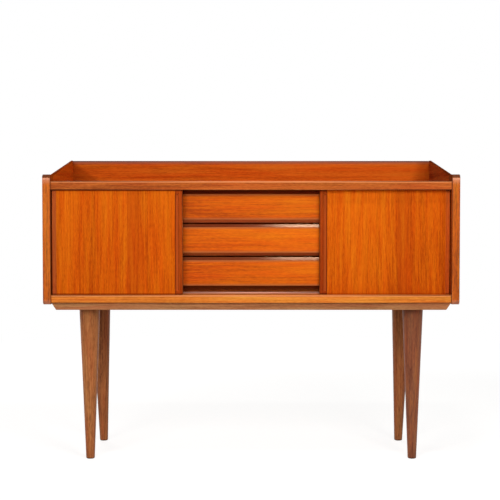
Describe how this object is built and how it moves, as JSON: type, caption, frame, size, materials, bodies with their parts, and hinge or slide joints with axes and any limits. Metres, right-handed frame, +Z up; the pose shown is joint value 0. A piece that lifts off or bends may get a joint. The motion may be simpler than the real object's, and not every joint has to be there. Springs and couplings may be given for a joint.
{
  "type": "sideboard",
  "caption": "Teak sideboard on tapered legs, with sliding doors with scooped grips, a bank of drawers between them and a raised gallery round the top.",
  "frame": {"origin": "on the floor, under the middle of the case", "axes": "+Z up, +X to the right seen from the front, the front faces -Y"},
  "size_m": [1.2, 0.42, 0.886],
  "materials": {
    "teak_panel": "oiled teak veneer",
    "teak_edge": "oiled solid teak",
    "teak_edge_light": "oiled solid teak, paler",
    "teak_top": "oiled teak veneer",
    "teak_gallery": "oiled solid teak",
    "teak_inside": "teak veneer",
    "teak_door": "oiled teak veneer",
    "teak_grip": "oiled solid teak",
    "teak_drawer": "oiled teak veneer",
    "teak_base": "oiled solid teak",
    "leg_wood": "turned and oiled",
    "drawer_wood": "planed oak",
    "plywood": "sanded",
    "beech": "planed",
    "steel": "plain",
    "brass": "dull"
  },
  "bodies": {
    "case": {"end_panel_left": "teak_panel", "end_lipping_left": "teak_edge", "divider_left": "teak_inside", "gallery_left": "teak_gallery", "shelf_left": "teak_inside", "base_rail_left": "teak_base", "end_panel_right": "teak_panel", "end_lipping_right": "teak_edge", "divider_right": "teak_inside", "gallery_right": "teak_gallery", "shelf_right": "teak_inside", "base_rail_right": "teak_base", "top_board": "teak_top", "top_lipping": "teak_edge", "bottom_board": "teak_inside", "bottom_lipping": "teak_edge_light", "gallery_back": "teak_gallery", "back_panel": "plywood", "base_rail_front": "teak_base", "base_rail_rear": "teak_base", "leg_front_left": "leg_wood", "leg_front_right": "leg_wood", "leg_rear_left": "leg_wood", "leg_rear_right": "leg_wood", "case_dowels": "beech", "bay_sill": "beech", "bay_rail": "teak_inside", "shelf_pins": "brass", "back_screws": "steel", "base_screws": "steel", "runner_screws": "steel", "leg_bolts": "steel", "leg_inserts": "brass", "runner_upper_left": "beech", "runner_upper_right": "beech", "runner_middle_left": "beech", "runner_middle_right": "beech", "runner_lower_left": "beech", "runner_lower_right": "beech"},
    "door_left": {"door_panel_left": "teak_door", "door_grip_left": "teak_grip", "door_lipping_left": "teak_grip"},
    "door_right": {"door_panel_right": "teak_door", "door_grip_right": "teak_grip", "door_lipping_right": "teak_grip"},
    "drawer_upper": {"drawer_upper_front": "teak_drawer", "drawer_upper_side_left": "drawer_wood", "drawer_upper_side_right": "drawer_wood", "drawer_upper_back": "drawer_wood", "drawer_upper_bottom": "plywood"},
    "drawer_middle": {"drawer_middle_front": "teak_drawer", "drawer_middle_side_left": "drawer_wood", "drawer_middle_side_right": "drawer_wood", "drawer_middle_back": "drawer_wood", "drawer_middle_bottom": "plywood"},
    "drawer_lower": {"drawer_lower_front": "teak_drawer", "drawer_lower_side_left": "drawer_wood", "drawer_lower_side_right": "drawer_wood", "drawer_lower_back": "drawer_wood", "drawer_lower_bottom": "plywood"}
  },
  "joints": [
    {"name": "door_left_slide", "type": "slide", "parent": "case", "child": "door_left", "axis": [-1, 0, 0], "range_m": [-0.395, 0]},
    {"name": "door_right_slide", "type": "slide", "parent": "case", "child": "door_right", "axis": [1, 0, 0], "range_m": [-0.395, 0]},
    {"name": "drawer_upper_slide", "type": "slide", "parent": "case", "child": "drawer_upper", "axis": [0, -1, 0], "range_m": [0, 0.27]},
    {"name": "drawer_middle_slide", "type": "slide", "parent": "case", "child": "drawer_middle", "axis": [0, -1, 0], "range_m": [0, 0.27]},
    {"name": "drawer_lower_slide", "type": "slide", "parent": "case", "child": "drawer_lower", "axis": [0, -1, 0], "range_m": [0, 0.27]}
  ]
}
